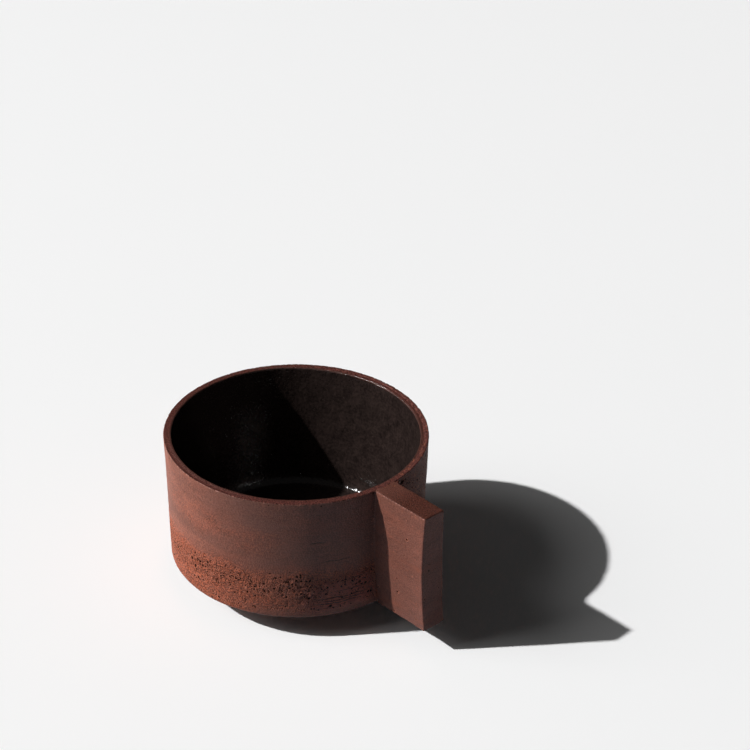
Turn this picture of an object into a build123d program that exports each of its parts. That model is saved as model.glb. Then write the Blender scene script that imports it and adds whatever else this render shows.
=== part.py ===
from build123d import *

import os
from math import atan, cos

# Low stoneware cup with one slab handle: a thrown body on a recessed foot ring, glazed inside.
# Millimetres, +Z up. The origin lies on the cup's axis, in the plane that the cup stands on.
# The handle points along +X.

os.makedirs("parts", exist_ok=True)

# Outside of the thrown body
rim_radius = 47.5
rim_height = 58.0
base_radius = 46.0  # at the lower edge of the wall
undercut_height = 9.0  # from the table to the body's flat underside
rim_round = 0.5
base_round = 0.8

# Inside of the thrown body: the wall thickens towards the floor
rim_wall = 2.4
floor_wall = 6.8  # wall thickness at the level of the floor
floor_thickness = 3.0
inner_corner = 3.0

# Glaze coat on the inside
glaze_thickness = 0.35
bare_rim = 0.8  # unglazed strip below the rim

# Foot ring, set back so far that it stays in the body's shadow
foot_radius = 30.0
foot_width = 5.0
foot_round = 0.8

# Handle: a hand-cut slab, flush with the rim and with the lower edge of the wall
handle_reach = 23.4  # from the wall to the outer end, at the rim
handle_lower_reach = 23.8  # the same at the lower edge
handle_thickness = 9.5
handle_lean = 3.0  # how far the top stands to the -Y side of the bottom
handle_bow = 1.0  # how far the middle swells to the -Y side
handle_round = 0.5

# Fired slip that lutes the handle and the foot to the body
slip_thickness = 0.5
slip_setback = 0.6  # from the faces of the foot ring
slip_clearance = 0.06  # hairline between the handle's slip and the curved wall

floor_height = undercut_height + floor_thickness
glaze_height = rim_height - bare_rim
foot_inner_radius = foot_radius - foot_width
foot_height = undercut_height - slip_thickness
outer_slope = (rim_radius - base_radius) / (rim_height - undercut_height)
inner_rim_radius = rim_radius - rim_wall
inner_floor_radius = base_radius + outer_slope * floor_thickness - floor_wall
inner_slope = (inner_rim_radius - inner_floor_radius) / (rim_height - floor_height)


def inner_radius(height):
    """Radius of the clay's inside at a height, before the corner is rounded."""
    return inner_floor_radius + inner_slope * (height - floor_height)


def outer_cone(skin):
    """Half section of everything inside the wall's outer face, grown outwards by a skin."""
    shift = skin / cos(atan(outer_slope))
    with BuildSketch(Plane.XZ) as section:
        with BuildLine():
            Polyline(
                (0, undercut_height),
                (base_radius + shift, undercut_height),
                (rim_radius + shift, rim_height),
                (0, rim_height),
                close=True,
            )
        make_face()
    return section.sketch


def cavity(coat, top):
    """Half section of the hollow up to a height, with a coat of even thickness on the clay."""
    shift = coat / cos(atan(inner_slope))
    bottom = floor_height + coat
    with BuildSketch(Plane.XZ) as section:
        with BuildLine():
            Polyline(
                (0, bottom),
                (inner_radius(bottom) - shift, bottom),
                (inner_radius(top) - shift, top),
                (0, top),
                close=True,
            )
        make_face()
        fillet(section.vertices().group_by(Axis.Y)[0].sort_by(Axis.X)[-1], inner_corner - coat)
    return section.sketch


def slab_section():
    """Upright cross-section of the handle slab, leaning and bowed."""
    half = handle_thickness / 2
    middle_height = (rim_height + undercut_height) / 2
    with BuildSketch(Plane.YZ) as section:
        with BuildLine():
            near = ThreePointArc(
                (-handle_lean / 2 - half, rim_height),
                (-handle_bow - half, middle_height),
                (handle_lean / 2 - half, undercut_height),
            )
            far = ThreePointArc(
                (handle_lean / 2 + half, undercut_height),
                (-handle_bow + half, middle_height),
                (-handle_lean / 2 + half, rim_height),
            )
            Line(near @ 1, far @ 0)
            Line(far @ 1, near @ 0)
        make_face()
    return section.sketch


# Thrown body: wall and floor in one
body_outline = outer_cone(0)
clay_hollow = cavity(0, rim_height)
with BuildPart() as cup_body:
    with BuildSketch(Plane.XZ) as body_section:
        add(body_outline)
        fillet(body_section.vertices().group_by(Axis.Y)[0].sort_by(Axis.X)[-1], base_round)
        add(clay_hollow, mode=Mode.SUBTRACT)
        fillet(body_section.vertices().group_by(Axis.Y)[-1], rim_round)
    revolve(axis=Axis.Z)
cup_body.part.label = "cup_body"

# Glaze: a coat of glass on the inside of the body
glaze_back = cavity(0, glaze_height)
glaze_front = cavity(glaze_thickness, glaze_height)
with BuildPart() as glaze_lining:
    with BuildSketch(Plane.XZ):
        add(glaze_back)
        add(glaze_front, mode=Mode.SUBTRACT)
    revolve(axis=Axis.Z)
glaze_lining.part.label = "glaze_lining"

# Foot ring, with softened edges where it stands
with BuildPart() as foot_ring:
    with BuildSketch(Plane.XZ) as foot_section:
        with Locations((foot_inner_radius, 0)):
            Rectangle(foot_width, foot_height, align=(Align.MIN, Align.MIN))
        fillet(foot_section.vertices().group_by(Axis.Y)[0], foot_round)
    revolve(axis=Axis.Z)
foot_ring.part.label = "foot_ring"

# Slip between the foot ring and the underside
with BuildPart() as foot_slip:
    with BuildSketch(Plane.XZ):
        with Locations((foot_inner_radius + slip_setback, foot_height)):
            Rectangle(
                foot_width - 2 * slip_setback,
                slip_thickness,
                align=(Align.MIN, Align.MIN),
            )
    revolve(axis=Axis.Z)
foot_slip.part.label = "foot_slip"

# Whole handle up to the wall, cut square at its outer end and softened along its edges
slab_outline = slab_section()
slip_back = outer_cone(slip_clearance)
slip_front = outer_cone(slip_thickness)
with BuildPart() as handle:
    extrude(slab_outline, amount=2 * rim_radius)
    with BuildSketch(Plane.XZ):
        with BuildLine():
            Polyline(
                (0, undercut_height),
                (base_radius + handle_lower_reach, undercut_height),
                (rim_radius + handle_reach, rim_height),
                (0, rim_height),
                close=True,
            )
        make_face()
    extrude(amount=rim_radius, both=True, mode=Mode.INTERSECT)
    revolve(slip_back, axis=Axis.Z, mode=Mode.SUBTRACT)
    wall_edges = handle.faces().sort_by(Axis.X)[0].edges()
    fillet(handle.edges() - wall_edges, handle_round)

# Handle slab: all but the layer of slip
with BuildPart() as handle_slab:
    add(handle.part)
    revolve(slip_front, axis=Axis.Z, mode=Mode.SUBTRACT)
handle_slab.part.label = "handle_slab"

# Slip between the handle slab and the wall, smoothed flush with the slab
with BuildPart() as handle_slip:
    add(handle.part)
    revolve(slip_front, axis=Axis.Z, mode=Mode.INTERSECT)
handle_slip.part.label = "handle_slip"

for piece in (cup_body, glaze_lining, foot_ring, foot_slip, handle_slab, handle_slip):
    export_step(piece.part, f"parts/{piece.part.label}.step")
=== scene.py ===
import math

import bpy
import numpy as np
from mathutils import Matrix, Vector
from mathutils.kdtree import KDTree


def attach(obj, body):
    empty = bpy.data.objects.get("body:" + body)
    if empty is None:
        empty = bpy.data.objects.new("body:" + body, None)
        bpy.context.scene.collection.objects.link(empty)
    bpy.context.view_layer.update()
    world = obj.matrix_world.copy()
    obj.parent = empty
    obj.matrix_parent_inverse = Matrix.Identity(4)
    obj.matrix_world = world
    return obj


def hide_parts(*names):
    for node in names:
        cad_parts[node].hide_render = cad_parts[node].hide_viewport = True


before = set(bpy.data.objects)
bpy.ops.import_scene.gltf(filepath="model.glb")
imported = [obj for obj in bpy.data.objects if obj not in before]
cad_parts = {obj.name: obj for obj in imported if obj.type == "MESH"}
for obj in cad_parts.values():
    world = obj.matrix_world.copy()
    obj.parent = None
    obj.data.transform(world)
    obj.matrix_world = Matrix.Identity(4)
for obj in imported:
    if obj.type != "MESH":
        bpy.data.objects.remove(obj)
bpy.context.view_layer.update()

MM = 0.001

# Places round the cup are angles from the handle, seen from above.

# Outside of the thrown body: the part's sizes, with a crisper rim and a softer lower edge
RIM_RADIUS = 47.5 * MM
RIM_HEIGHT = 58.0 * MM
BASE_RADIUS = 46.0 * MM
UNDERCUT_HEIGHT = 9.0 * MM
RIM_ROUND = 0.3 * MM
BASE_ROUND = 1.2 * MM
WALL_HEIGHT = RIM_HEIGHT - UNDERCUT_HEIGHT
OUTER_SLOPE = (RIM_RADIUS - BASE_RADIUS) / WALL_HEIGHT

# Inside of the thrown body: the part's cone, down to a floor that lies 1 mm lower
INNER_RIM_RADIUS = 45.05 * MM
INNER_FLOOR_RADIUS = 39.16 * MM
FLOOR_HEIGHT = 11.0 * MM
INNER_CORNER = 3.0 * MM
INNER_SLOPE = (INNER_RIM_RADIUS - INNER_FLOOR_RADIUS) / (RIM_HEIGHT - FLOOR_HEIGHT)

# Rim
RIM_ZONE = 2.0 * MM  # how deep below its top the rim's finish starts
RIM_LEAN = 0.27 * MM  # the rim leans away from the handle
RIM_DRIFT = 0.2 * MM  # its wall is thinner on one side
RIM_DRIFT_PLACE = math.radians(167.5)
RIM_SHIFT_DEPTH = 14.0 * MM  # how far down lean and drift run out
RIM_DISH = 0.3  # slope of the rim's top inwards, most on the side away from the sun
RIM_DISH_PLACE = math.radians(57.5)
RIM_DISH_DEPTH = 3.0 * MM
SEAM_PLACE = math.radians(72)  # dark seam on the rim's top, beside the glaze
SEAM_HALF = math.radians(62)
SEAM_INSET = 0.75 * MM
SEAM_WIDTH = 0.35 * MM
SEAM_CLEAR = math.radians(45)  # over these angles, the lip beside the seam turns clean
SEAM_CLEAR_END = math.radians(75)
CREST_INSET = 1.2 * MM  # lighter crest outside the seam
CREST_HALF = 0.6 * MM
GROOVE_PLACE = math.radians(-98)  # turned groove beside the rim's outer edge; on this side, which faces the sun, that edge gets more painted highlight
GROOVE_HALF = math.radians(32)
GROOVE_INSET = 0.5 * MM
GROOVE_SIDE = 0.22 * MM
MARK_DEPTH = 0.10 * MM  # of seam and groove
RIM_CHIPS = 90

# Glaze on the inside
GLAZE_THICKNESS = 0.35 * MM
GLAZE_EDGE = math.radians(115)  # how far it reaches round the rim's inner edge
GLAZE_BURY = 0.12 * MM  # the coat's thin edge runs into the clay
POOL_REACH = 3.6 * MM  # the glaze pools in the corner: how far over the floor,
POOL_RISE = 6.2 * MM  # and how far up the wall
LIP_GLOSS_PLACE = math.radians(108)  # only here is the glaze's lip glossy
LIP_GLOSS_HALF = math.radians(42)
LIP_THIN_START = 0.5 * MM  # below the rim's top, where the glaze starts to thin
LIP_THIN_END = 0.15 * MM

# Foot ring
FOOT_RADIUS = 30.0 * MM
FOOT_INNER_RADIUS = 25.0 * MM
FOOT_ROUND = 0.8 * MM
FOOT_FLARE = 1.0 * MM

# Handle slab: centre line and thickness at the rim and at the lower edge
HANDLE_INNER_END = 46.3 * MM
HANDLE_END_TOP = 70.9 * MM
HANDLE_END_BOTTOM = 69.8 * MM
HANDLE_END_HOLLOW = 0.45 * MM
HANDLE_CENTRE_TOP = -1.7 * MM
HANDLE_CENTRE_BOTTOM = 1.35 * MM
HANDLE_BOW = 1.0 * MM
HANDLE_FAR_BOW = 0.2 * MM
HANDLE_HALF_TOP = 4.6 * MM
HANDLE_HALF_BOTTOM = 4.9 * MM
HANDLE_EDGE_ROUND = 0.45 * MM
HANDLE_CORNER_DROP = 0.25 * MM
HANDLE_GRAIN = 0.015
HANDLE_PITS = 40

# Smoothed slip in the two corners between the handle and the wall
SLIP_LEG = 0.35 * MM
SLIP_TOP_LEG = 2.2 * MM  # more in the far corner, up at the rim
SLIP_EMBED = 0.25 * MM
SLIP_SINK = 0.02 * MM  # the thin edge on the wall runs into the clay
SLIP_START = 0.012  # ends of the strips, as shares of the wall's height
SLIP_END = 0.994

# Rough orange band at the foot of the wall, measured up from the wall's lower edge
BAND_TOP = 20.5 * MM
BAND_FADE = 7.0 * MM
BAND_BOTTOM = 2.8 * MM
FADE_START = math.radians(-80)  # over these angles, the band fades out at the bottom
FADE_END = math.radians(-55)
SMEAR_LEVEL = 33.0 * MM  # orange smears above the band
SMEAR_HALF = 7.0 * MM
SMEAR_PLACE = math.radians(-80)
SMEAR_SPREAD = math.radians(35)

# Torn clay in the band
GRAIN_TOP = 18.5 * MM
GRAIN_DIP = 3.0 * MM  # its top is lower here
GRAIN_DIP_PLACE = math.radians(-31)
GRAIN_DIP_HALF = math.radians(8)
TORN_LEVEL = 9.0 * MM  # below it, there are fewer pits
TORN_DROP = 6.0 * MM  # over these angles, that level gets lower
TORN_DROP_START = math.radians(-50)
TORN_DROP_END = math.radians(-30)
BACK_TORN_AND_SHADE_PLACE = math.radians(32)  # torn clay stretches beyond the handle, and there the grey is painted shade
BACK_TORN_AND_SHADE_HALF = math.radians(30)
PIT_CLUSTERS = 460
PIT_RISES = (2.0, 14.0, 20.5)  # lowest, most common and highest, in mm
PIT_RADII = (0.24, 0.28, 0.58)
CORNER_SHADE_DENTS = (  # hollows beside the handle, painted dark as shade in its corners: degrees, rise and radius in mm
    (7.2, 46.7, 1.2), (8.6, 46.2, 0.8), (-8.6, 48.2, 0.6),
)

# Grey clay: a stripe above the band and a patch higher up under the rim; painted shade in the same grey
# over the wall's shaded side beside the handle, and up at the handle's joint
GREY_LEVEL = 27.0 * MM
GREY_HALF = 5.0 * MM
GREY_FADE = 9.0 * MM
SHADE_SIDE_PLACE = math.radians(-27)
SHADE_SIDE_HALF = math.radians(55)
TOP_GREY_LEVEL = 33.0 * MM
TOP_GREY_PLACE = math.radians(-68)
TOP_GREY_HALF = math.radians(26)
JOINT_SHADE_LEVEL = 22.0 * MM
JOINT_SHADE_PLACE = math.radians(-9)
JOINT_SHADE_HALF = math.radians(8)

# Marks of the potter's rib
COMBED_PLACE = math.radians(-22)  # patch of fine grooves
COMBED_HALF = math.radians(16)
COMBED_LEVEL = 8.5 * MM
COMBED_RISE = 6.5 * MM
SCRATCHES = (  # long marks on the wall: from and to in degrees, and rise in mm
    (-33, -18, 24.2), (-37, -30, 32.5), (-38, -9, 7.8), (-34, -10, 6.7), (-36, -14, 5.7),
    (-20, -11, 15.0), (-54, -42, 5.5),
)
SCRATCH_HALF = 0.30 * MM
SCRATCH_CORE = 0.14 * MM
SCRATCH_WANDER = 0.7 * MM

# Relief: how high each noise lifts the surface
WALL_WAVE = 0.05 * MM
WALL_GRAIN = 0.09 * MM
RIM_WAVE = 0.09 * MM
RIM_GRIT = 0.06 * MM
GLAZE_WAVE = 0.028 * MM
GLAZE_RIPPLE = 0.010 * MM
GLAZE_LOW_RIPPLE = 0.013 * MM  # added towards the floor, between these rises above it
GLAZE_LOW_TOP = 9.0 * MM
GLAZE_LOW_FULL = 3.0 * MM
LIP_WAVE = 0.10 * MM
LIP_GRIT = 0.05 * MM
FOOT_WAVE = 0.05 * MM
FOOT_GRIT = 0.06 * MM
HANDLE_WAVE = 0.10 * MM
HANDLE_GRIT = 0.05 * MM
HANDLE_LOWER_WAVE = 0.14 * MM

# Fineness of the meshes
BODY_COLUMNS = 894
BAND_ROWS = 62
BAND_ROWS_MARGIN = 3.5 * MM  # the close rows reach so far above the band
UPPER_ROWS = 13
RIM_ROWS = 8
EDGE_ROWS = 5
GLAZE_COLUMNS = 480
GLAZE_WALL_ROWS = 72
GLAZE_POOL_ROWS = 14
GLAZE_FLOOR_ROWS = 30
GLAZE_LIP_ROWS = 7
FOOT_COLUMNS = 360
HANDLE_SPACING = 0.42 * MM
SLIP_ROWS = 150
SLIP_BENDS = 7
BODY_HUB = 8.0 * MM  # inside these radii, fans close the forms on the axis
GLAZE_BACK_HUB = 6.0 * MM
GLAZE_FACE_HUB = 1.0 * MM

# Clay and glaze colours, linear
SMOOTH_DARK = (0.085, 0.028, 0.017, 1)
SMOOTH_LIGHT = (0.300, 0.102, 0.063, 1)
GREY_DARK = (0.070, 0.028, 0.019, 1)
GREY_LIGHT = (0.185, 0.073, 0.051, 1)
SLAB_DARK = (0.110, 0.039, 0.026, 1)
SLAB_LIGHT = (0.235, 0.084, 0.056, 1)
BAND_DARK = (0.080, 0.019, 0.009, 1)
BAND_LIGHT = (0.470, 0.116, 0.052, 1)
CRUMB_COLOUR = (0.590, 0.205, 0.122, 1)
COMBED_COLOUR = (0.800, 0.240, 0.155, 1)
SMEAR_COLOUR = (0.270, 0.078, 0.044, 1)
CUT_DARK = (0.026, 0.007, 0.005, 1)
CUT_LIGHT = (0.158, 0.047, 0.036, 1)
SLAB_CUT_DARK = (0.035, 0.010, 0.0065, 1)
SLAB_CUT_LIGHT = (0.120, 0.036, 0.023, 1)
# painted shade in pits, chips, dents, hollows and the rib's lines; also the dark of the rim's seam and
# groove
DARK_AND_SHADE_COLOUR = (0.026, 0.0075, 0.004, 1)
# painted highlight on the rim's and handle's edges, and wear on the foot
WORN_AND_HIGHLIGHT_COLOUR = (0.500, 0.270, 0.220, 1)
GLAZE_DARK = (0.009, 0.006, 0.0055, 1)
GLAZE_LIGHT = (0.034, 0.0225, 0.0195, 1)
GLAZE_LIP = (0.085, 0.031, 0.022, 1)
FLOOR_COLOUR = (0.95, 0.95, 0.95, 1)
FLOOR_BOUNCE = (0.02, 0.10, 0.20, 1)

# Camera, found from the photograph's outlines
HANDLE_TURN = math.radians(47.5)
CAMERA_DISTANCE = 813.4 * MM
CAMERA_ELEVATION = math.radians(35.438)
CAMERA_YAW = math.radians(2.379)
CAMERA_PITCH = math.radians(30.475)
CAMERA_ROLL = math.radians(1.308)
CAMERA_FOCAL = 2.90564  # in widths of the picture
SENSOR_WIDTH = 36.0

# Light
SUN_AZIMUTH = math.radians(7.38)
SUN_ELEVATION = math.radians(39.22)
SUN_ANGLE = math.radians(1.2)
SUN_STRENGTH = 4.0
BACKDROP_GLOW = 0.87  # low sky as it is seen, and as it lights the cup
HORIZON_GLOW = 0.06
ZENITH_GLOSS = 0.05  # high sky as it is seen, and as it lights the cup
ZENITH_GLOW = 0.022
GLOW_FULL = math.sin(math.radians(7))  # heights between which the low sky turns into the high one
GLOW_END = math.sin(math.radians(17))
HALO_GLOSS = 0.35
HALO_FULL = math.cos(math.radians(3))
HALO_END = math.cos(math.radians(10))
FLOOR_SIZE = 60.0
LOW_FILL_SIZE = (2.4, 0.008)
LEFT_FILL_POWER = 136.0
LEFT_FILL_PLACE = (-3.76, 1.36, 0.006)
BACK_FILL_POWER = 2.0
BACK_FILL_PLACE = (1.2, 3.8, 0.006)
SKY_PANEL_SIZE = (1.1, 1.1)
SKY_PANEL_POWER = 9.0
SKY_PANEL_PLACE = (-1.69, -0.22, 1.39)


# Soft steps, noise and dents on points
def smooth_step(x):
    x = np.clip(x, 0.0, 1.0)
    return x * x * (3.0 - 2.0 * x)


def ramp(value, start, end):
    """0 up to the start and 1 from the end on, smooth between; the end may be the lower of the two."""
    return smooth_step((value - start) / (end - start))


def above(value, level, fade):
    """0 below a level and 1 above it, with a fade that has the level in its middle."""
    return smooth_step((value - level) / fade + 0.5)


def around(value, middle, half, reach=1.0):
    """1 near the middle and 0 from reach times the half width on, over a slope one half width long."""
    return smooth_step(reach - abs(value - middle) / half)


def angle_of(points):
    return np.arctan2(points[:, 1], points[:, 0])


def radius_of(points):
    return np.hypot(points[:, 0], points[:, 1])


def solid_noise(points, cell, seed):
    """Smooth noise between -1 and 1 at points in space, with features about one cell wide."""
    size = 48
    table = np.random.default_rng(seed).uniform(-1.0, 1.0, (size, size, size))
    place = points / np.asarray(cell)
    corner = np.floor(place).astype(int)
    blended = smooth_step(place - corner)
    total = np.zeros(len(points))
    for step in np.ndindex(2, 2, 2):
        weight = np.prod(np.where(step, blended, 1.0 - blended), axis=1)
        i, j, k = ((corner + step) % size).T
        total += weight * table[i, j, k]
    return total


def dent_depths(points, dents):
    """Depth at each point of the deepest dent (middle, radius, depth, darkness), and how dark it is, as
    painted shade in the dent.
    """
    tree = KDTree(len(points))
    for index, point in enumerate(points):
        tree.insert(point, index)
    tree.balance()
    depth = np.zeros(len(points))
    dark = np.zeros(len(points))
    for centre, radius, deepest, darkness in dents:
        for _, index, distance in tree.find_range(centre, radius):
            nearness = 1.0 - (distance / radius) ** 2
            depth[index] = max(depth[index], deepest * nearness)
            dark[index] = max(dark[index], darkness * nearness)
    return depth, dark


# Meshes
def line_points(start, end, count):
    """Even points on a line, without its start."""
    return np.linspace(start, end, count + 1)[1:]


def arc_points(centre, radius, start, end, count):
    """Even points on an arc between two angles in degrees, without its start."""
    angles = np.radians(np.linspace(start, end, count + 1)[1:])
    return np.array(centre) + radius * np.stack([np.cos(angles), np.sin(angles)], axis=1)


def revolve(profile, columns):
    """Points and outward normals of a turned form, one row for each point of its profile."""
    tangent = np.gradient(profile, axis=0)
    tangent /= np.linalg.norm(tangent, axis=1)[:, None]
    angles = np.linspace(0.0, 2.0 * math.pi, columns, endpoint=False)
    spokes = np.stack([np.cos(angles), np.sin(angles)], axis=1)

    def spin(radial, upright):
        flat = radial[:, None, None] * spokes[None]
        tall = np.repeat(upright[:, None, None], columns, axis=1)
        return np.concatenate([flat, tall], axis=2).reshape(-1, 3)

    return spin(profile[:, 0], profile[:, 1]), spin(tangent[:, 1], -tangent[:, 0])


def row_faces(rows, columns, closed):
    """Quads between neighbouring rows; a closed profile joins its last row to its first."""
    last = rows if closed else rows - 1
    row, column = np.meshgrid(np.arange(last), np.arange(columns), indexing="ij")
    after = (row + 1) % rows
    beside = (column + 1) % columns
    corners = [
        row * columns + column,
        row * columns + beside,
        after * columns + beside,
        after * columns + column,
    ]
    return np.stack(corners, axis=-1).reshape(-1, 4).tolist()


def pole_faces(rows, columns, start_pole, end_pole):
    """Fans that close the two ends of a turned form on its axis."""
    first = [(start_pole, (j + 1) % columns, j) for j in range(columns)]
    base = (rows - 1) * columns
    last = [(base + j, base + (j + 1) % columns, end_pole) for j in range(columns)]
    return first + last


def add_piece(name, points, faces, material, slot, nodes, **attributes):
    """A smooth-shaded mesh object that stands for CAD nodes and rides on the one body."""
    mesh = bpy.data.meshes.new(name)
    mesh.from_pydata(points.tolist(), [], faces)
    mesh.polygons.foreach_set("use_smooth", np.ones(len(mesh.polygons), dtype=bool))
    for key, values in attributes.items():
        layer = mesh.attributes.new(key, "FLOAT", "POINT")
        layer.data.foreach_set("value", np.asarray(values, dtype=np.float32))
    mesh.materials.append(material)
    mesh.update()
    piece = bpy.data.objects.new(name, mesh)
    bpy.context.scene.collection.objects.link(piece)
    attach(piece, "root")
    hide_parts(*nodes)
    return piece


def add_turned(name, profile, poles, points, material, slot, nodes, **attributes):
    """A piece turned about the axis: closed by two poles, or closed on itself without them."""
    rows = len(profile)
    columns = len(points) // rows
    faces = row_faces(rows, columns, closed=not poles)
    if poles:
        start_pole = len(points)
        faces += pole_faces(rows, columns, start_pole, start_pole + 1)
        points = np.concatenate([points, [(0.0, 0.0, height) for height in poles]])
        for key in attributes:
            attributes[key] = np.concatenate([attributes[key], [0.0, 0.0]])
    return add_piece(name, points, faces, material, slot, nodes, **attributes)


# Shader building blocks
def add_node(tree, kind, inputs=None, **settings):
    node = tree.nodes.new(kind)
    for key, value in settings.items():
        setattr(node, key, value)
    for key, value in (inputs or {}).items():
        if isinstance(value, bpy.types.NodeSocket):
            tree.links.new(value, node.inputs[key])
        else:
            node.inputs[key].default_value = value
    return node


def new_material(name):
    material = bpy.data.materials.new(name)
    material.use_nodes = True
    tree = material.node_tree
    return material, tree, tree.nodes["Principled BSDF"]


def object_place(tree, stretch=(1, 1, 1)):
    place = add_node(tree, "ShaderNodeTexCoord").outputs["Object"]
    shrink = [1.0 / value for value in stretch]
    return add_node(tree, "ShaderNodeMapping", {"Vector": place, "Scale": shrink}).outputs[0]


def attribute(tree, name):
    return add_node(tree, "ShaderNodeAttribute", attribute_name=name).outputs["Fac"]


def remap(tree, value, low, high, to_low=0.0, to_high=1.0):
    inputs = {
        "Value": value, "From Min": low, "From Max": high,
        "To Min": to_low, "To Max": to_high,
    }
    return add_node(tree, "ShaderNodeMapRange", inputs).outputs[0]


def blend(tree, factor, start, end):
    """From the start, where the factor is 0, to the end, where it is 1."""
    return remap(tree, factor, 0.0, 1.0, start, end)


def noise(tree, place, size, detail=2.0, low=0.35, high=0.65):
    """Noise with features of about the given size, spread over 0 to 1."""
    inputs = {"Vector": place, "Scale": 1.0 / size, "Detail": detail}
    value = add_node(tree, "ShaderNodeTexNoise", inputs).outputs["Fac"]
    return remap(tree, value, low, high)


def calc(tree, operation, first, second=0.0):
    return add_node(tree, "ShaderNodeMath", {0: first, 1: second}, operation=operation).outputs[0]


def times(tree, first, second):
    return calc(tree, "MULTIPLY", first, second)


def largest(tree, first, *others):
    for other in others:
        first = calc(tree, "MAXIMUM", first, other)
    return first


def apart(tree, value, middle):
    """How far a value is from the middle."""
    return calc(tree, "ABSOLUTE", calc(tree, "SUBTRACT", value, middle))


def weighted(tree, *parts):
    """Sum of values, each times its weight."""
    total = 0.0
    for value, weight in parts:
        inputs = {0: value, 1: weight, 2: total}
        total = add_node(tree, "ShaderNodeMath", inputs, operation="MULTIPLY_ADD").outputs[0]
    return total


def mix_colour(tree, factor, first, second):
    inputs = {0: factor, 6: first, 7: second}
    return add_node(tree, "ShaderNodeMix", inputs, data_type="RGBA").outputs[2]


def add_bump(tree, shader, height, strength, distance):
    inputs = {"Height": height, "Strength": strength, "Distance": distance}
    bump = add_node(tree, "ShaderNodeBump", inputs).outputs[0]
    tree.links.new(bump, shader.inputs["Normal"])


def warped(tree, place, size, amount):
    """The place, shifted about by noise so that round spots turn ragged."""
    inputs = {"Vector": place, "Scale": 1.0 / size}
    drift = add_node(tree, "ShaderNodeTexNoise", inputs).outputs["Color"]
    inputs = {0: drift, 1: (0.5, 0.5, 0.5)}
    centred = add_node(tree, "ShaderNodeVectorMath", inputs, operation="SUBTRACT").outputs[0]
    inputs = {0: centred, 1: (2 * amount, 2 * amount, 2 * amount), 2: place}
    return add_node(tree, "ShaderNodeVectorMath", inputs, operation="MULTIPLY_ADD").outputs[0]


def spots(tree, place, spacing, radius, share):
    """Spots of mixed size up to a radius, in a share of a lattice's cells, and the rings round them."""
    inputs = {"Vector": place, "Scale": 1.0 / spacing}
    cells = add_node(tree, "ShaderNodeTexVoronoi", inputs)
    distance = cells.outputs["Distance"]
    pick = add_node(tree, "ShaderNodeSeparateColor", {0: cells.outputs["Color"]}).outputs
    picked = calc(tree, "LESS_THAN", pick[0], share)
    size = times(tree, pick[1], pick[1])
    outer = blend(tree, size, 0.35 * radius / spacing, radius / spacing)
    spot = remap(tree, distance, outer, times(tree, outer, 0.75))
    ring = remap(tree, distance, times(tree, outer, 1.6), outer)
    return times(tree, spot, picked), times(tree, ring, picked)


# Clay
def scratches(tree, place):
    """Thin lines along the wall, at set angles and levels."""
    x, y, z = add_node(tree, "ShaderNodeSeparateXYZ", {0: place}).outputs
    angle = calc(tree, "ARCTAN2", y, x)
    level = weighted(tree, (noise(tree, place, 4 * MM), SCRATCH_WANDER), (z, 1.0))
    lines = []
    for start, end, rise in SCRATCHES:
        half = math.radians(end - start) / 2
        aside = apart(tree, angle, math.radians(start) + half)
        off = apart(tree, level, UNDERCUT_HEIGHT + rise * MM + SCRATCH_WANDER / 2)
        thin = remap(tree, off, SCRATCH_HALF, SCRATCH_CORE)
        lines.append(times(tree, thin, remap(tree, aside, half, 0.6 * half)))
    return largest(tree, *lines)


def rib_lines(tree, place, speck, combed):
    """Lines that the rib left, painted dark as shade in their grooves: fine ones in the combed patch, and
    single long ones.
    """
    comb = noise(tree, object_place(tree, stretch=(30, 30, 1)), 0.65 * MM, low=0.46, high=0.30)
    comb = times(tree, times(tree, comb, combed), 0.75)
    lines = largest(tree, comb, scratches(tree, place))
    return times(tree, lines, blend(tree, speck, 1.0, 0.65))


def torn_pits(tree, place, grain, combed):
    """Hollows of torn clay, to be painted dark as shade, and the crumbs that ring them."""
    cluster = noise(tree, place, 3.5 * MM)
    share = times(tree, grain, blend(tree, cluster, 0.5, 1.1))
    share = times(tree, share, blend(tree, combed, 1.0, 0.55))
    ragged_place = warped(tree, place, 0.4 * MM, 0.42 * MM)
    pits, pit_rings = spots(tree, ragged_place, 1.25 * MM, 0.68 * MM, share)
    pricks, prick_rings = spots(tree, ragged_place, 0.66 * MM, 0.36 * MM, share)
    holes, _ = spots(tree, place, 2.5 * MM, 0.42 * MM, 0.12)
    return largest(tree, pits, pricks, holes), largest(tree, pit_rings, prick_rings)


def skin_colour(tree, place, cloud, smooth_mix, torn_mix, smooth_dark, smooth_light):
    """Smooth clay with smears, orange where band is 1, and duller where grey is 1; that grey is partly
    painted shade.
    """
    smear_place = object_place(tree, stretch=(4, 4, 1))
    smear = noise(tree, smear_place, 5 * MM, detail=4.0, low=0.52, high=0.72)
    smooth = mix_colour(tree, smooth_mix, smooth_dark, smooth_light)
    smooth = mix_colour(tree, times(tree, smear, 0.45), smooth, SMEAR_COLOUR)
    orange = mix_colour(tree, torn_mix, BAND_DARK, BAND_LIGHT)
    band = attribute(tree, "band")
    band_edge = noise(tree, place, 1.6 * MM, detail=3.0, low=0.3, high=0.7)
    ragged = weighted(tree, (band, 1.0), (band_edge, 0.4))
    colour = mix_colour(tree, remap(tree, ragged, 0.25, 1.15), smooth, orange)
    grey = mix_colour(tree, smooth_mix, GREY_DARK, GREY_LIGHT)
    grey_share = times(tree, attribute(tree, "grey"), blend(tree, cloud, 0.35, 0.9))
    grey_share = times(tree, grey_share, blend(tree, band, 1.0, 0.45))
    return mix_colour(tree, grey_share, colour, grey)


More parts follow.
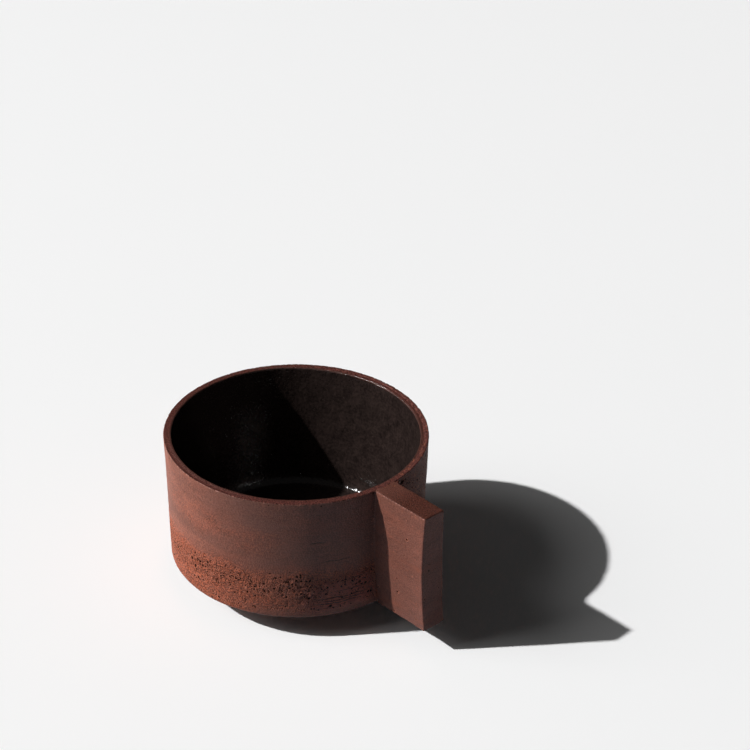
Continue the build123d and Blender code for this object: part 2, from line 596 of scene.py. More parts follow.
def clay_material(name, smooth_dark, smooth_light, cut_dark, cut_light):
    """Coarse red-brown stoneware: rubbed smooth, torn where grain is 1, cut and darker where cut is 1;
    dents, hollows and lines painted dark as shade, and edges painted light as highlight.
    """
    material, tree, shader = new_material(name)
    place = object_place(tree)
    cloud = noise(tree, object_place(tree, stretch=(2.5, 2.5, 1)), 5 * MM, detail=4.0)
    marks = noise(tree, object_place(tree, stretch=(40, 40, 1)), 0.45 * MM)
    speck = noise(tree, place, 0.5 * MM)
    crumb = noise(tree, place, 0.5 * MM, detail=3.0, low=0.38, high=0.64)
    smooth_mix = weighted(tree, (cloud, 0.26), (marks, 0.12), (speck, 0.62))
    torn_mix = weighted(tree, (crumb, 0.6), (speck, 0.4))
    grain = attribute(tree, "grain")
    cut = attribute(tree, "cut")
    combed = attribute(tree, "combed")
    lines = rib_lines(tree, place, speck, combed)
    hollow, rings = torn_pits(tree, place, grain, combed)

    colour = skin_colour(tree, place, cloud, smooth_mix, torn_mix, smooth_dark, smooth_light)
    colour = mix_colour(tree, times(tree, combed, 0.6), colour, COMBED_COLOUR)
    # painted shade in the rib's lines
    colour = mix_colour(tree, lines, colour, DARK_AND_SHADE_COLOUR)
    colour = mix_colour(tree, cut, colour, mix_colour(tree, torn_mix, cut_dark, cut_light))
    # painted highlight on the rim's and handle's edges, and wear on the foot
    worn = times(tree, attribute(tree, "worn"), remap(tree, speck, 0.25, 1.0))
    colour = mix_colour(tree, worn, colour, WORN_AND_HIGHLIGHT_COLOUR)
    colour = mix_colour(tree, times(tree, rings, 0.6), colour, CRUMB_COLOUR)
    # painted shade in dents and torn hollows, and the dark seam and groove
    dark = largest(tree, remap(tree, attribute(tree, "pit"), 0.2, 0.9), hollow)
    colour = mix_colour(tree, dark, colour, DARK_AND_SHADE_COLOUR)
    tree.links.new(colour, shader.inputs["Base Color"])

    coarse = largest(tree, grain, cut)
    tree.links.new(blend(tree, coarse, 0.58, 0.68), shader.inputs["Roughness"])
    matt = largest(tree, times(tree, cut, 0.7), dark)
    shader.inputs["Specular IOR Level"].default_value = 0.3
    tree.links.new(blend(tree, matt, 0.32, 0.02), shader.inputs["Specular IOR Level"])

    crumbly = largest(tree, grain, times(tree, cut, 0.3))
    crumb_height = times(tree, crumb, blend(tree, crumbly, 0.4, 2.7))
    mark_height = times(tree, marks, blend(tree, grain, 0.1, 0.7))
    height = weighted(
        tree, (crumb_height, 1.0), (speck, 0.3), (mark_height, 1.0), (hollow, -1.6), (lines, -0.8),
    )
    add_bump(tree, shader, height, 0.8, 0.13 * MM)
    return material


def glaze_material(name):
    """Near-black brown glaze: glossy, finely rippled and speckled; browner where thin, matt where dry."""
    material, tree, shader = new_material(name)
    place = object_place(tree)
    cloud = noise(tree, place, 4 * MM, detail=4.0)
    speck = noise(tree, place, 1.0 * MM, detail=3.0, low=0.25, high=0.75)
    thin = attribute(tree, "thin")
    dry = attribute(tree, "dry")

    mixed = weighted(tree, (cloud, 0.35), (speck, 0.65))
    colour = mix_colour(tree, mixed, GLAZE_DARK, GLAZE_LIGHT)
    lip_share = times(tree, thin, blend(tree, speck, 0.4, 1.0))
    colour = mix_colour(tree, lip_share, colour, GLAZE_LIP)
    tree.links.new(colour, shader.inputs["Base Color"])

    gloss = blend(tree, speck, 0.08, 0.19)
    roughness = weighted(tree, (gloss, 1.0), (thin, 0.02), (dry, 0.4))
    tree.links.new(roughness, shader.inputs["Roughness"])
    shine = weighted(tree, (thin, 0.4), (dry, -0.84))
    shader.inputs["Specular IOR Level"].default_value = 0.5
    tree.links.new(calc(tree, "ADD", shine, 0.5), shader.inputs["Specular IOR Level"])

    ripple = noise(tree, place, 1.1 * MM)
    grit = times(tree, noise(tree, place, 0.4 * MM), thin)
    height = weighted(tree, (ripple, 1.0), (speck, 0.4), (grit, 1.1))
    add_bump(tree, shader, height, 0.7, 0.06 * MM)
    return material


def seen_directly(tree):
    """1 on rays from the camera, in mirrors and through glass, and 0 on diffuse light."""
    path = add_node(tree, "ShaderNodeLightPath").outputs
    return largest(tree, path["Is Camera Ray"], path["Is Glossy Ray"], path["Is Transmission Ray"])


def floor_material(name):
    """Pale to look at, and darker in the light that it throws back on the cup."""
    material, tree, shader = new_material(name)
    colour = mix_colour(tree, seen_directly(tree), FLOOR_BOUNCE, FLOOR_COLOUR)
    tree.links.new(colour, shader.inputs["Base Color"])
    shader.inputs["Roughness"].default_value = 1.0
    shader.inputs["Specular IOR Level"].default_value = 0.0
    return material


# Thrown body
def outer_radius(height):
    return BASE_RADIUS + OUTER_SLOPE * (height - UNDERCUT_HEIGHT)


def inner_radius(height):
    return INNER_FLOOR_RADIUS + INNER_SLOPE * (height - FLOOR_HEIGHT)


def body_profile():
    """From the middle of the underside, up the outside and over the rim, to the middle of the floor."""
    wall_start = UNDERCUT_HEIGHT + BASE_ROUND
    base_edge = outer_radius(wall_start) - BASE_ROUND
    rough_top = UNDERCUT_HEIGHT + BAND_TOP + BAND_ROWS_MARGIN
    shoulder = RIM_HEIGHT - RIM_ROUND
    wall_end = (RIM_RADIUS, shoulder - RIM_ROUND)
    outer_edge = RIM_RADIUS - RIM_ROUND
    inner_edge = INNER_RIM_RADIUS + RIM_ROUND
    corner_height = FLOOR_HEIGHT + INNER_CORNER
    corner_middle = inner_radius(corner_height) - INNER_CORNER
    wall_foot = (outer_radius(wall_start), wall_start)
    rough_end = (outer_radius(rough_top), rough_top)
    parts = [
        [(BODY_HUB, UNDERCUT_HEIGHT)],
        line_points((BODY_HUB, UNDERCUT_HEIGHT), (base_edge, UNDERCUT_HEIGHT), 3),
        arc_points((base_edge, wall_start), BASE_ROUND, -90, 0, 4),
        line_points(wall_foot, rough_end, BAND_ROWS),
        line_points(rough_end, wall_end, UPPER_ROWS),
        line_points(wall_end, (RIM_RADIUS, shoulder), 2),
        arc_points((outer_edge, shoulder), RIM_ROUND, 0, 90, EDGE_ROWS),
        line_points((outer_edge, RIM_HEIGHT), (inner_edge, RIM_HEIGHT), RIM_ROWS),
        arc_points((inner_edge, shoulder), RIM_ROUND, 90, 180, EDGE_ROWS),
        line_points((INNER_RIM_RADIUS, shoulder), (inner_radius(corner_height), corner_height), 3),
        arc_points((corner_middle, corner_height), INNER_CORNER, 0, -90, 4),
        [(BODY_HUB, FLOOR_HEIGHT)],
    ]
    return np.concatenate(parts)


def wall_spot(angle, rise):
    """Point of the outer wall at an angle, above the wall's lower edge."""
    radius = outer_radius(UNDERCUT_HEIGHT + rise)
    return (radius * math.cos(angle), radius * math.sin(angle), UNDERCUT_HEIGHT + rise)


def edge_wander(points):
    """How far the edges of the wall's patches wander up and down."""
    wander = 2.2 * solid_noise(points, 14 * MM, seed=1) + 1.2 * solid_noise(points, 4 * MM, seed=2)
    return (wander + 0.8 * solid_noise(points, 1.6 * MM, seed=7)) * MM


def band_mask(points, rise, angle, wander, fading):
    band = 1.0 - above(rise, BAND_TOP + wander, BAND_FADE)
    band *= 1.0 - 0.65 * fading * (1.0 - above(rise + wander, BAND_BOTTOM, 4 * MM))
    streak = 0.5 + 0.5 * solid_noise(points, (7 * MM, 7 * MM, 1.3 * MM), seed=8)
    streak *= around(rise, SMEAR_LEVEL, SMEAR_HALF, 1.3)
    streak *= around(angle, SMEAR_PLACE, SMEAR_SPREAD, 1.3)
    return np.maximum(band, 0.5 * streak)


def grain_mask(rise, angle, wander, fading):
    top = GRAIN_TOP - GRAIN_DIP * around(angle, GRAIN_DIP_PLACE, GRAIN_DIP_HALF, 1.4)
    bottom = BAND_BOTTOM * (0.25 + 0.75 * fading)
    torn_level = TORN_LEVEL - TORN_DROP * ramp(angle, TORN_DROP_START, TORN_DROP_END)
    grain = 1.0 - above(rise, top + wander, 5 * MM)
    grain *= above(rise + 0.4 * wander, bottom, 2.5 * MM)
    return grain * (0.4 + 0.6 * above(rise + wander, torn_level, 4 * MM))


def grey_and_shade_mask(rise, angle, wander):
    stripe = around(rise + wander, GREY_LEVEL, GREY_HALF)
    # painted shade: greyer and darker over the side of the wall that the sun leaves in shade, beside the
    # handle
    shaded_side = around(angle, SHADE_SIDE_PLACE, SHADE_SIDE_HALF, 1.25)
    under_rim = ramp(rise, TOP_GREY_LEVEL, TOP_GREY_LEVEL + GREY_FADE)
    under_rim *= around(angle, TOP_GREY_PLACE, TOP_GREY_HALF, 1.4)
    # painted shade: greyer and darker high on the wall by the handle's joint, between handle and wall
    joint_shade = ramp(rise, JOINT_SHADE_LEVEL, JOINT_SHADE_LEVEL + GREY_FADE)
    joint_shade *= around(angle, JOINT_SHADE_PLACE, JOINT_SHADE_HALF, 1.4)
    return np.maximum(stripe, shaded_side), 0.65 * np.maximum(under_rim, joint_shade)


def combed_mask(rise, angle, wander):
    combed = around(angle, COMBED_PLACE, COMBED_HALF, 1.4)
    return combed * around(rise + 0.6 * wander, COMBED_LEVEL, COMBED_RISE, 1.4)


def wall_masks(points):
    """How orange, torn, grey and combed the wall is at points; part of the grey is painted shade."""
    rise = points[:, 2] - UNDERCUT_HEIGHT
    angle = angle_of(points)
    wander = edge_wander(points)
    fading = ramp(angle, FADE_START, FADE_END)
    back_torn_and_shade = around(angle, BACK_TORN_AND_SHADE_PLACE, BACK_TORN_AND_SHADE_HALF, 1.5)
    grey, more_grey_and_shade = grey_and_shade_mask(rise, angle, wander)
    return {
        "band": band_mask(points, rise, angle, wander, fading),
        "grain": np.maximum(grain_mask(rise, angle, wander, fading), 0.65 * back_torn_and_shade),
        # grey clay, with painted shade beyond the handle, over the shaded side and at the handle's joint
        "grey": np.maximum(grey, back_torn_and_shade) + more_grey_and_shade,
        "combed": combed_mask(rise, angle, wander),
    }


def band_pits(draw):
    """Torn grog pits in clusters, as dents that are painted dark as shade."""
    dents = []
    for _ in range(PIT_CLUSTERS):
        angle = draw.uniform(0.0, 2.0 * math.pi)
        rise = draw.triangular(*PIT_RISES)
        for _ in range(draw.integers(1, 4)):
            radius = draw.triangular(*PIT_RADII) * MM
            spot = wall_spot(angle + draw.normal(0.0, 0.022), (rise + draw.normal(0.0, 0.8)) * MM)
            dents.append((spot, radius, draw.uniform(0.5, 0.9) * radius, draw.uniform(0.3, 1.0)))
    return dents


def rim_chips(draw):
    """Small losses along the outer edge of the rim, as dents that are painted dark as shade."""
    dents = []
    for _ in range(RIM_CHIPS):
        angle = draw.uniform(0.0, 2.0 * math.pi)
        radius = draw.uniform(0.25, 0.65) * MM
        spot = wall_spot(angle, WALL_HEIGHT - draw.uniform(0.0, 0.3) * MM)
        dents.append((spot, radius, draw.uniform(0.2, 0.5) * radius, draw.uniform(0.0, 0.6)))
    return dents


def corner_pits():
    """Hollows in the corners where the handle meets the rim, as dents painted very dark as shade."""
    dents = []
    for angle, rise, radius in CORNER_SHADE_DENTS:
        spot = wall_spot(math.radians(angle), rise * MM)
        dents.append((spot, radius * MM, 0.6 * radius * MM, 1.3))
    return dents


def rim_shift(points):
    """Move points near the rim: its inner edge drifts, it leans, and its top is dished on one side."""
    angle = angle_of(points)
    reach = radius_of(points)
    flat_edge = RIM_RADIUS - RIM_ROUND
    width = flat_edge - INNER_RIM_RADIUS
    inwards = np.clip((flat_edge - reach) / width, 0.0, 1.2)
    high = ramp(points[:, 2], RIM_HEIGHT - RIM_SHIFT_DEPTH, RIM_HEIGHT)
    drift = RIM_DRIFT * np.cos(angle - RIM_DRIFT_PLACE)
    points[:, :2] *= (1.0 + high * inwards * drift / reach)[:, None]
    points[:, 0] -= high * RIM_LEAN
    top = ramp(points[:, 2], RIM_HEIGHT - RIM_DISH_DEPTH, RIM_HEIGHT)
    dish = RIM_DISH * np.clip(np.cos(angle - RIM_DISH_PLACE), 0.0, 1.0)
    points[:, 2] -= top * dish * inwards * width


def rim_marks(points, near_rim):
    """On the rim's top: its seam, the crest beside it, its groove, and the groove's side of the rim."""
    angle = angle_of(points)
    reach = radius_of(points)
    inset = reach - INNER_RIM_RADIUS
    seam_side = near_rim * around(angle, SEAM_PLACE, SEAM_HALF, 1.2)
    seam = seam_side * (1.0 - above(inset, SEAM_INSET, 0.4 * MM))
    clean = ramp(angle, SEAM_CLEAR, SEAM_CLEAR_END)
    seam *= 1.0 - clean * (1.0 - above(inset, SEAM_INSET - SEAM_WIDTH, 0.3 * MM))
    crest = seam_side * around(inset, CREST_INSET, CREST_HALF)
    groove_side = near_rim * around(angle, GROOVE_PLACE, GROOVE_HALF, 1.3)
    groove = groove_side * around(RIM_RADIUS - reach, GROOVE_INSET, GROOVE_SIDE, 1.5)
    groove *= 0.9 + 0.4 * solid_noise(points, 3 * MM, seed=9)
    return seam, crest, groove, groove_side


def make_cup_body(material):
    profile = body_profile()
    points, normals = revolve(profile, BODY_COLUMNS)
    reach = radius_of(points)
    outside = ramp(reach, BASE_RADIUS - 2 * BASE_ROUND, BASE_RADIUS - BASE_ROUND)
    near_rim = ramp(points[:, 2], RIM_HEIGHT - RIM_ZONE, RIM_HEIGHT - RIM_ZONE / 2)
    masks = {key: outside * mask for key, mask in wall_masks(points).items()}
    masks["grain"] *= 1.0 - 0.7 * near_rim
    seam, crest, groove, groove_side = rim_marks(points, near_rim)

    draw = np.random.default_rng(11)
    dents = band_pits(draw) + rim_chips(draw) + corner_pits()
    depth, pit = dent_depths(points, dents)
    on_wall = outside * (1.0 - near_rim)
    lift = on_wall * WALL_WAVE * solid_noise(points, (9 * MM, 9 * MM, 2.4 * MM), seed=3)
    lift += masks["grain"] * WALL_GRAIN * solid_noise(points, 0.7 * MM, seed=4)
    lift += near_rim * RIM_WAVE * solid_noise(points, 2.2 * MM, seed=5)
    lift += near_rim * RIM_GRIT * solid_noise(points, 0.8 * MM, seed=6)
    lift -= MARK_DEPTH * (seam + groove)
    points = points + normals * (lift - depth)[:, None]
    rim_shift(points)

    facing_up = np.clip(normals[:, 2], 0.0, 1.0)
    cut = near_rim * ramp(facing_up, 0.25, 0.75)
    # Painted highlight: the rim's rounded outer edge is lighter, more so on the groove's side, which faces
    # the sun; the crest and the rim's top past the groove are lighter too.
    outer_edge = near_rim * around(facing_up, 0.45, 0.4) * (reach > RIM_RADIUS - RIM_ROUND)
    past_groove = ramp(RIM_RADIUS - reach, 2 * GROOVE_INSET, 2 * GROOVE_INSET + 0.3 * MM)
    worn = outer_edge * (0.5 + groove_side)
    worn = np.maximum(worn, 0.15 * crest)
    worn = np.maximum(worn, 0.2 * groove_side * past_groove)
    # the seam and groove join the dark and painted shade of the dents
    pit = np.maximum(pit, 0.85 * np.maximum(seam, groove))
    return add_turned(
        "cup_body_clay", profile, (UNDERCUT_HEIGHT, FLOOR_HEIGHT), points, material, "clay",
        ["cup_body"], pit=pit, cut=cut, worn=worn, **masks,
    )


# Glaze on the inside
def glaze_lip():
    """Back and face of the glaze round the rim's inner edge, each from the wall up."""
    turns = np.linspace(math.pi, GLAZE_EDGE, GLAZE_LIP_ROWS)
    spokes = np.stack([np.cos(turns), np.sin(turns)], axis=1)
    centre = np.array([INNER_RIM_RADIUS + RIM_ROUND, RIM_HEIGHT - RIM_ROUND])
    thinning = np.linspace(0.0, 1.0, GLAZE_LIP_ROWS) ** 2
    coat = RIM_ROUND + GLAZE_THICKNESS * (1.0 - thinning) - GLAZE_BURY * thinning
    back = centre + (RIM_ROUND - 2 * GLAZE_BURY) * spokes
    return back[1:-1], centre + coat[:, None] * spokes


def glaze_profile():
    """From the middle of the floor under the glaze, up its back, over the rim's edge and down its face."""
    corner_height = FLOOR_HEIGHT + INNER_CORNER
    corner_middle = inner_radius(corner_height) - INNER_CORNER
    face_floor = FLOOR_HEIGHT + GLAZE_THICKNESS
    pool_height = face_floor + POOL_RISE
    pool_radius = inner_radius(pool_height) - GLAZE_THICKNESS
    pool_centre = (pool_radius - POOL_REACH, pool_height)
    quarter = arc_points((0.0, 0.0), 1.0, 0, -90, GLAZE_POOL_ROWS)
    shoulder = RIM_HEIGHT - RIM_ROUND
    face_shoulder = (INNER_RIM_RADIUS - GLAZE_THICKNESS, shoulder)
    lip_back, lip_face = glaze_lip()
    parts = [
        [(GLAZE_BACK_HUB, FLOOR_HEIGHT)],
        [(corner_middle, FLOOR_HEIGHT)],
        arc_points((corner_middle, corner_height), INNER_CORNER, -90, 0, 3),
        line_points((inner_radius(corner_height), corner_height), (INNER_RIM_RADIUS, shoulder), 2),
        lip_back,
        lip_face[::-1],
        line_points(face_shoulder, (pool_radius, pool_height), GLAZE_WALL_ROWS),
        pool_centre + quarter * (POOL_REACH, POOL_RISE),
        line_points((pool_centre[0], face_floor), (GLAZE_FACE_HUB, face_floor), GLAZE_FLOOR_ROWS),
    ]
    return np.concatenate(parts)


def make_glaze(material):
    profile = glaze_profile()[::-1]
    points, normals = revolve(profile, GLAZE_COLUMNS)
    over_corner = points[:, 2] > FLOOR_HEIGHT + INNER_CORNER
    from_wall = inner_radius(points[:, 2]) - radius_of(points)
    from_clay = np.where(over_corner, from_wall, points[:, 2] - FLOOR_HEIGHT)
    face = smooth_step(from_clay / GLAZE_THICKNESS)
    low = ramp(points[:, 2], FLOOR_HEIGHT + GLAZE_LOW_TOP, FLOOR_HEIGHT + GLAZE_LOW_FULL)
    ripple = GLAZE_WAVE * solid_noise(points, 3.2 * MM, seed=21)
    ripple += (GLAZE_RIPPLE + GLAZE_LOW_RIPPLE * low) * solid_noise(points, 1.1 * MM, seed=22)
    points = points - normals * (face * ripple)[:, None]
    lip = ramp(points[:, 2], RIM_HEIGHT - RIM_ZONE, RIM_HEIGHT)
    points[:, 2] += lip * LIP_WAVE * solid_noise(points, (4 * MM, 4 * MM, 1.0), seed=23)
    points[:, 2] += lip * LIP_GRIT * solid_noise(points, (1.2 * MM, 1.2 * MM, 1.0), seed=24)
    thin = ramp(points[:, 2], RIM_HEIGHT - LIP_THIN_START, RIM_HEIGHT - LIP_THIN_END)
    dry = thin * (1.0 - around(angle_of(points), LIP_GLOSS_PLACE, LIP_GLOSS_HALF, 1.4))
    rim_shift(points)
    return add_turned(
        "glaze_coat", profile, (FLOOR_HEIGHT + GLAZE_THICKNESS, FLOOR_HEIGHT), points, material,
        "glaze", ["glaze_lining"], thin=thin, dry=dry,
    )


# Foot ring
def foot_profile():
    """Closed section of the ring, flared where it meets the underside."""
    flare_height = UNDERCUT_HEIGHT - FOOT_FLARE
    inner, outer = FOOT_INNER_RADIUS, FOOT_RADIUS
    parts = [
        arc_points((inner - FOOT_FLARE, flare_height), FOOT_FLARE, 90, 0, EDGE_ROWS),
        line_points((inner, flare_height), (inner, FOOT_ROUND), 10),
        arc_points((inner + FOOT_ROUND, FOOT_ROUND), FOOT_ROUND, 180, 270, EDGE_ROWS),
        line_points((inner + FOOT_ROUND, 0.0), (outer - FOOT_ROUND, 0.0), 8),
        arc_points((outer - FOOT_ROUND, FOOT_ROUND), FOOT_ROUND, 270, 360, EDGE_ROWS),
        line_points((outer, FOOT_ROUND), (outer, flare_height), 14),
        arc_points((outer + FOOT_FLARE, flare_height), FOOT_FLARE, 180, 90, EDGE_ROWS),
    ]
    return np.concatenate(parts)


def make_foot(material):
    profile = foot_profile()
    points, normals = revolve(profile, FOOT_COLUMNS)
    height = points[:, 2]
    clear = ramp(height, 0.0, MM) * ramp(height, UNDERCUT_HEIGHT, UNDERCUT_HEIGHT - MM)
    lift = clear * FOOT_GRIT * solid_noise(points, 0.9 * MM, seed=31)
    lift += clear * FOOT_WAVE * solid_noise(points, (8 * MM, 8 * MM, 2 * MM), seed=32)
    points = points + normals * lift[:, None]
    ones = np.ones(len(points))
    # the foot ring's lowest edge is lighter with wear
    worn = 0.25 * ramp(points[:, 2], 0.5 * MM, 0.0)
    return add_turned(
        "foot_ring_clay", profile, (), points, material, "clay", ["foot_ring", "foot_slip"],
        band=0.8 * ones, grain=0.5 * ones, cut=0.65 * ones, worn=worn,
    )


# Handle
def edge_spaced(low, high, spacing, edge):
    """Even steps between two ends, with closer steps over the rounded edges."""
    close = edge * np.array([0.0, 0.25, 0.5, 0.75])
    count = max(2, round((high - low - 2 * edge) / spacing))
    even = np.linspace(low + edge, high - edge, count + 1)
    return np.concatenate([low + close, even, (high - close)[::-1]])


def box_surface(lines):
    """Points and outward quads on the surface of a lattice box."""
    shape = tuple(len(line) for line in lines)
    lattice = np.stack(np.meshgrid(*lines, indexing="ij"), axis=-1)
    skin = np.ones(shape, dtype=bool)
    skin[1:-1, 1:-1, 1:-1] = False
    index = np.full(shape, -1)
    index[skin] = np.arange(skin.sum())
    faces = []
    for axis, low_flips in ((0, True), (1, False), (2, True)):
        for end, flips in ((0, low_flips), (-1, not low_flips)):
            plane = np.take(index, end, axis=axis)
            quads = np.stack(
                [plane[:-1, :-1], plane[1:, :-1], plane[1:, 1:], plane[:-1, 1:]], axis=-1,
            ).reshape(-1, 4)
            faces += (quads[:, ::-1] if flips else quads).tolist()
    return lattice[skin], faces


def swell(level):
    """0 at the lower edge and at the rim, and 1 half-way up."""
    return 4.0 * level * (1.0 - level)


def handle_centre(level):
    chord = HANDLE_CENTRE_BOTTOM + (HANDLE_CENTRE_TOP - HANDLE_CENTRE_BOTTOM) * level
    return chord - HANDLE_BOW * swell(level)


def handle_half(level):
    return HANDLE_HALF_BOTTOM + (HANDLE_HALF_TOP - HANDLE_HALF_BOTTOM) * level


def handle_face(level, across):
    """Where a face of the handle stands: across is -1 on the near, bowed face and 1 on the far one."""
    straightened = (HANDLE_BOW - HANDLE_FAR_BOW) * swell(level)
    return handle_centre(level) + across * handle_half(level) + 0.5 * (1.0 + across) * straightened


def handle_end(level):
    chord = HANDLE_END_BOTTOM + (HANDLE_END_TOP - HANDLE_END_BOTTOM) * level
    return chord - HANDLE_END_HOLLOW * swell(level)


def make_handle(material):
    half = HANDLE_HALF_TOP
    low = np.array([HANDLE_INNER_END, -half, UNDERCUT_HEIGHT])
    high = np.array([HANDLE_END_TOP, half, RIM_HEIGHT])
    lines = [edge_spaced(a, b, HANDLE_SPACING, HANDLE_EDGE_ROUND) for a, b in zip(low, high)]
    flat, faces = box_surface(lines)
    core = np.clip(flat, low + HANDLE_EDGE_ROUND, high - HANDLE_EDGE_ROUND)
    normals = flat - core
    normals /= np.linalg.norm(normals, axis=1)[:, None]
    flat = core + HANDLE_EDGE_ROUND * normals

    level = (flat[:, 2] - UNDERCUT_HEIGHT) / WALL_HEIGHT
    along = (flat[:, 0] - HANDLE_INNER_END) / (HANDLE_END_TOP - HANDLE_INNER_END)
    across = flat[:, 1] / half
    points = flat.copy()
    points[:, 0] = HANDLE_INNER_END + along * (handle_end(level) - HANDLE_INNER_END)
    points[:, 1] = handle_face(level, across)
    far_corner = ramp(along, 0.6, 1.0) * ramp(across, -0.2, 1.0) * ramp(level, 0.9, 1.0)
    points[:, 2] -= HANDLE_CORNER_DROP * far_corner
    lower_edge = ramp(level, 0.06, 0.0)
    points[:, 2] += lower_edge * HANDLE_LOWER_WAVE * solid_noise(points, 1.8 * MM, seed=44)

    from_wall = ramp(along, 0.06, 0.16)
    lift = from_wall * HANDLE_WAVE * solid_noise(points, 7 * MM, seed=41)
    lift += from_wall * HANDLE_GRIT * solid_noise(points, 1.3 * MM, seed=42)
    draw = np.random.default_rng(43)
    picks = draw.integers(0, len(points), HANDLE_PITS)
    radii = draw.uniform(0.25, 0.5, HANDLE_PITS) * MM
    # shallow dents, painted dark as shade
    dents = [(points[pick], radius, 0.4 * radius, 0.5) for pick, radius in zip(picks, radii)]
    depth, pit = dent_depths(points, dents)
    points = points + normals * (lift - depth)[:, None]

    facing_up = normals[:, 2]
    grain = np.full(len(points), HANDLE_GRAIN)
    cut = ramp(facing_up, 0.3, 0.8) * (1.0 - 0.4 * ramp(along, 0.6, 0.0))
    upper_edge = ramp(facing_up, 0.15, 0.35) * ramp(facing_up, 0.85, 0.65)
    # painted highlight along the upper edge of the side that faces the sun
    worn = 0.5 * upper_edge * (normals[:, 1] < -0.1)
    return add_piece(
        "handle_slab_clay", points, faces, material, "clay", ["handle_slab"],
        grain=grain, pit=pit, cut=cut, worn=worn,
    )


def slip_row(side, level, bends):
    """One level's section of a slip fillet: a buried corner, then a hollow from the slab to the wall."""
    height = UNDERCUT_HEIGHT + level * WALL_HEIGHT
    face = handle_face(level, side)
    wall = outer_radius(height)
    foot = math.sqrt(wall ** 2 - face ** 2)
    spot = np.array([[foot, face, height]])
    leg = SLIP_LEG * (1.0 + 0.25 * solid_noise(spot, 2.5 * MM, seed=51)[0])
    if side > 0:
        leg += SLIP_TOP_LEG * ramp(level, 0.8, 1.0)
    row = [(foot - SLIP_EMBED, face - side * SLIP_EMBED, height)]
    for bend in bends:
        x = foot + leg * (1.0 - math.cos(bend))
        y = face + side * leg * (1.0 - math.sin(bend))
        row.append((max(x, math.sqrt(wall ** 2 - y ** 2) - SLIP_SINK), y, height))
    return row


def slip_strip(side):
    """Hollow fillet of slip along one side of the handle, side -1 for -Y and 1 for +Y."""
    bends = np.radians(np.linspace(0.0, 90.0, SLIP_BENDS))
    rows = [slip_row(side, level, bends) for level in np.linspace(SLIP_START, SLIP_END, SLIP_ROWS)]
    points = np.array(rows).reshape(-1, 3)
    count, size = len(rows), len(rows[0])
    faces = row_faces(count, size, closed=False)
    faces += [list(range(size))[::-1], list(range((count - 1) * size, count * size))]
    return points, faces if side < 0 else [face[::-1] for face in faces]


def make_handle_slip(material):
    near_points, near_faces = slip_strip(-1)
    far_points, far_faces = slip_strip(1)
    offset = len(near_points)
    far_faces = [[corner + offset for corner in face] for face in far_faces]
    points = np.concatenate([near_points, far_points])
    masks = {key: 0.6 * mask for key, mask in wall_masks(points).items()}
    cut = ramp(points[:, 2], RIM_HEIGHT - 0.9 * MM, RIM_HEIGHT - 0.3 * MM)
    return add_piece(
        "handle_slip_fillet", points, near_faces + far_faces, material, "slip", ["handle_slip"],
        cut=cut, **masks,
    )


# Stage
def make_floor():
    mesh = bpy.data.meshes.new("studio_floor")
    half = FLOOR_SIZE / 2
    corners = [(-half, -half, 0), (half, -half, 0), (half, half, 0), (-half, half, 0)]
    mesh.from_pydata(corners, [], [(0, 1, 2, 3)])
    mesh.materials.append(floor_material("studio_floor"))
    floor = bpy.data.objects.new("studio_floor", mesh)
    bpy.context.scene.collection.objects.link(floor)


def turned(vector):
    """From the photograph's frame, where the camera looks along +Y, to the cup's frame."""
    return Matrix.Rotation(HANDLE_TURN, 3, "Z") @ Vector(vector)


def direction(azimuth, elevation):
    return Vector((
        math.cos(azimuth) * math.cos(elevation),
        math.sin(azimuth) * math.cos(elevation),
        math.sin(elevation),
    ))


def make_camera():
    data = bpy.data.cameras.new("photo_camera")
    data.sensor_width = SENSOR_WIDTH
    data.lens = SENSOR_WIDTH * CAMERA_FOCAL
    quarter = math.pi / 2
    place = turned(CAMERA_DISTANCE * direction(-quarter, CAMERA_ELEVATION))
    forward = turned(direction(quarter - CAMERA_YAW, -CAMERA_PITCH))
    level = forward.cross(Vector((0, 0, 1))).normalized()
    upright = level.cross(forward)
    right = math.cos(CAMERA_ROLL) * level + math.sin(CAMERA_ROLL) * upright
    up = math.cos(CAMERA_ROLL) * upright - math.sin(CAMERA_ROLL) * level
    axes = Matrix((right, up, -forward)).transposed().to_4x4()
    camera = bpy.data.objects.new("photo_camera", data)
    camera.matrix_world = Matrix.Translation(place) @ axes
    bpy.context.scene.collection.objects.link(camera)
    bpy.context.scene.camera = camera


def make_sun():
    data = bpy.data.lights.new("key_sun", "SUN")
    data.energy = SUN_STRENGTH
    data.angle = SUN_ANGLE
    sun = bpy.data.objects.new("key_sun", data)
    travel = turned(direction(SUN_AZIMUTH, -SUN_ELEVATION))
    sun.rotation_euler = travel.to_track_quat("-Z", "Y").to_euler()
    bpy.context.scene.collection.objects.link(sun)


def make_fill(name, place, size, power):
    """Soft light that gloss doesn't show; placed low, it fills upright faces and grazes the floor."""
    data = bpy.data.lights.new(name, "AREA")
    data.shape = "RECTANGLE"
    data.size, data.size_y = size
    data.energy = power
    fill = bpy.data.objects.new(name, data)
    fill.location = turned(place)
    aim = Vector((0, 0, RIM_HEIGHT / 2)) - fill.location
    fill.rotation_euler = aim.to_track_quat("-Z", "Y").to_euler()
    fill.visible_camera = False
    fill.visible_glossy = False
    bpy.context.scene.collection.objects.link(fill)


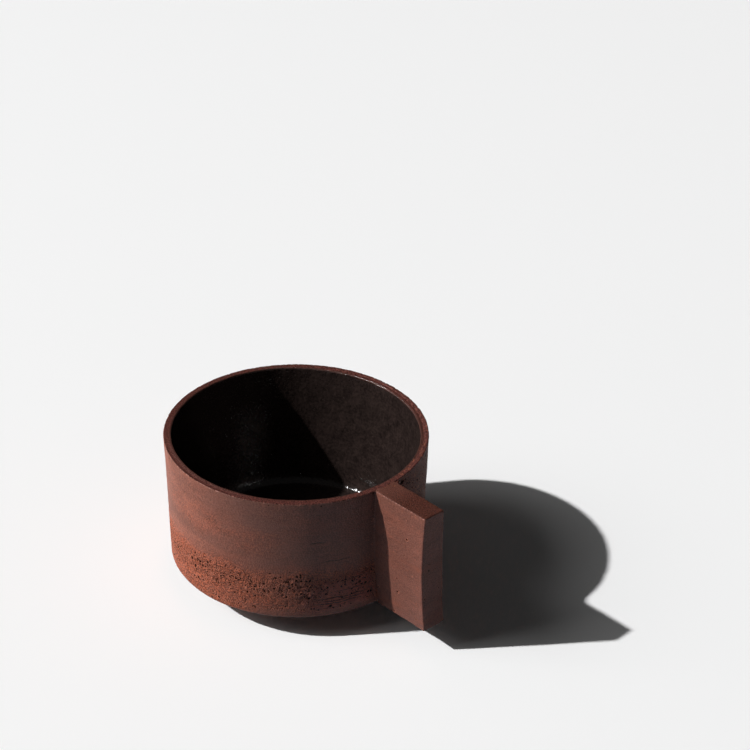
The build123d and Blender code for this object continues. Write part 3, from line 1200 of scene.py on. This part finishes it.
def make_world():
    """Pale glow round the horizon, a dark sky, and a halo round the sun that shows in gloss."""
    world = bpy.data.worlds.new("studio_world")
    world.use_nodes = True
    tree = world.node_tree
    sky = add_node(tree, "ShaderNodeTexCoord").outputs["Generated"]
    height = add_node(tree, "ShaderNodeSeparateXYZ", {0: sky}).outputs[2]
    seen = seen_directly(tree)
    horizon = blend(tree, seen, HORIZON_GLOW, BACKDROP_GLOW)
    zenith = blend(tree, seen, ZENITH_GLOW, ZENITH_GLOSS)
    glow = remap(tree, height, GLOW_FULL, GLOW_END, horizon, zenith)
    to_sun = -turned(direction(SUN_AZIMUTH, -SUN_ELEVATION))
    near_sun = add_node(tree, "ShaderNodeVectorMath", {0: sky, 1: to_sun}, operation="DOT_PRODUCT")
    halo = remap(tree, near_sun.outputs["Value"], HALO_END, HALO_FULL, 0.0, HALO_GLOSS)
    glow = weighted(tree, (glow, 1.0), (halo, seen))
    tree.links.new(glow, tree.nodes["Background"].inputs["Strength"])
    tree.nodes["Background"].inputs["Color"].default_value = (1, 1, 1, 1)
    bpy.context.scene.world = world


make_camera()
make_floor()
make_sun()
make_fill("left_fill", LEFT_FILL_PLACE, LOW_FILL_SIZE, LEFT_FILL_POWER)
make_fill("back_fill", BACK_FILL_PLACE, LOW_FILL_SIZE, BACK_FILL_POWER)
make_fill("sky_panel", SKY_PANEL_PLACE, SKY_PANEL_SIZE, SKY_PANEL_POWER)
make_world()
bpy.context.scene.view_settings.view_transform = "Standard"

clay = clay_material("stoneware_clay", SMOOTH_DARK, SMOOTH_LIGHT, CUT_DARK, CUT_LIGHT)
slab_clay = clay_material("slab_clay", SLAB_DARK, SLAB_LIGHT, SLAB_CUT_DARK, SLAB_CUT_LIGHT)
slip = clay_material("clay_slip", SMOOTH_DARK, SMOOTH_LIGHT, CUT_DARK, CUT_LIGHT)
glaze = glaze_material("dark_glaze")
make_cup_body(clay)
make_glaze(glaze)
make_foot(clay)
make_handle(slab_clay)
make_handle_slip(slip)
